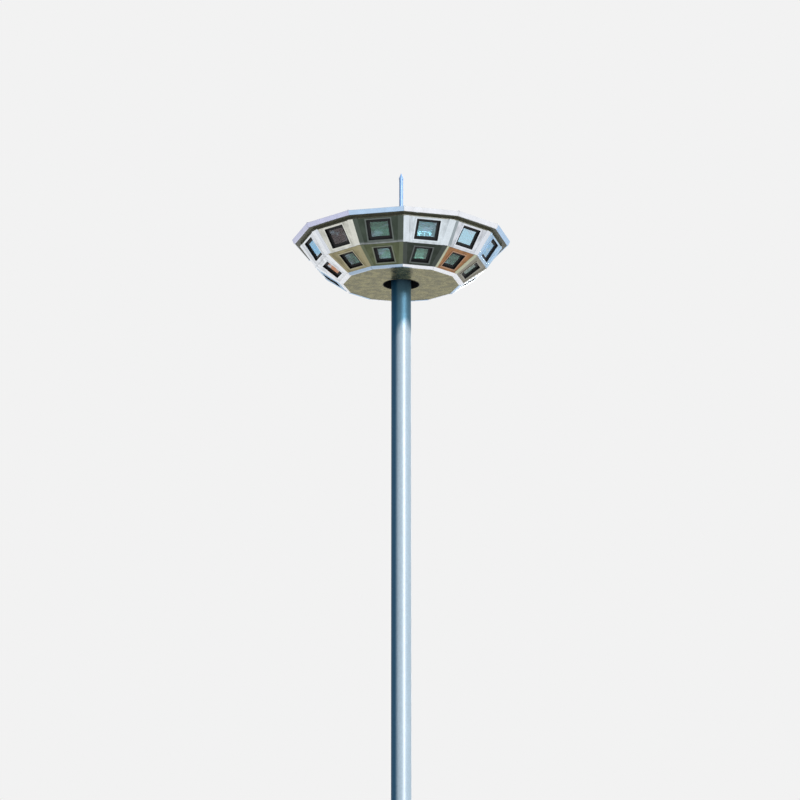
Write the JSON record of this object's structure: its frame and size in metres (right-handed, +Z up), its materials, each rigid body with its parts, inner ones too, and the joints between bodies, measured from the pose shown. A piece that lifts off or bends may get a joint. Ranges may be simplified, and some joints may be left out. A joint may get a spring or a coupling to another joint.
{
  "type": "high mast floodlight tower",
  "caption": "Stepped tubular mast with a faceted dish of recessed floodlights that lowers down the shaft for service, a lightning rod on top and a bolted base flange.",
  "frame": {"origin": "middle of the base flange's underside, at ground level", "axes": "+Z up the mast; -Y is the side of the service door and of one dish corner"},
  "size_m": [3.5992, 3.5992, 20.805],
  "materials": {
    "galvanised_steel": "hot-dip galvanised",
    "stainless_sheet": "polished stainless sheet",
    "stainless_trim": "polished stainless strip",
    "dark_enamel": "matt enamel",
    "black_casting": "black powder coat",
    "lamp_glass": "toughened clear glass",
    "reflector": "bright reflector inside",
    "lamp_tube": "frosted lamp",
    "cast_pulley": "cast, greased groove"
  },
  "bodies": {
    "mast": {"base_flange": "galvanised_steel", "base_gussets": "galvanised_steel", "lower_section": "galvanised_steel", "upper_section": "galvanised_steel", "door_frame": "galvanised_steel", "service_door": "galvanised_steel", "head_frame": "galvanised_steel", "pulleys": "cast_pulley", "rain_hood": "galvanised_steel", "lightning_rod": "galvanised_steel"},
    "lamp_head": {"upper_panel_01": "stainless_sheet", "upper_panel_02": "stainless_sheet", "upper_panel_03": "stainless_sheet", "upper_panel_04": "stainless_sheet", "upper_panel_05": "stainless_sheet", "upper_panel_06": "stainless_sheet", "upper_panel_07": "stainless_sheet", "upper_panel_08": "stainless_sheet", "upper_panel_09": "stainless_sheet", "upper_panel_10": "stainless_sheet", "upper_panel_11": "stainless_sheet", "upper_panel_12": "stainless_sheet", "lower_panel_01": "stainless_sheet", "lower_panel_02": "stainless_sheet", "lower_panel_03": "stainless_sheet", "lower_panel_04": "stainless_sheet", "lower_panel_05": "stainless_sheet", "lower_panel_06": "stainless_sheet", "lower_panel_07": "stainless_sheet", "lower_panel_08": "stainless_sheet", "lower_panel_09": "stainless_sheet", "lower_panel_10": "stainless_sheet", "lower_panel_11": "stainless_sheet", "lower_panel_12": "stainless_sheet", "corner_strips": "stainless_trim", "eave_fascia": "stainless_trim", "eave_soffit": "dark_enamel", "roof_sheets": "stainless_sheet", "bottom_band": "stainless_trim", "bottom_plate": "stainless_sheet", "centre_sleeve": "dark_enamel", "window_trims": "stainless_trim", "lamp_bezels": "black_casting", "lamp_glass": "lamp_glass", "lamp_housings": "reflector", "lamp_tubes": "lamp_tube"}
  },
  "joints": [
    {"name": "head_lowering", "type": "slide", "parent": "mast", "child": "lamp_head", "axis": [0, 0, -1], "range_m": [0, 17.6]}
  ]
}
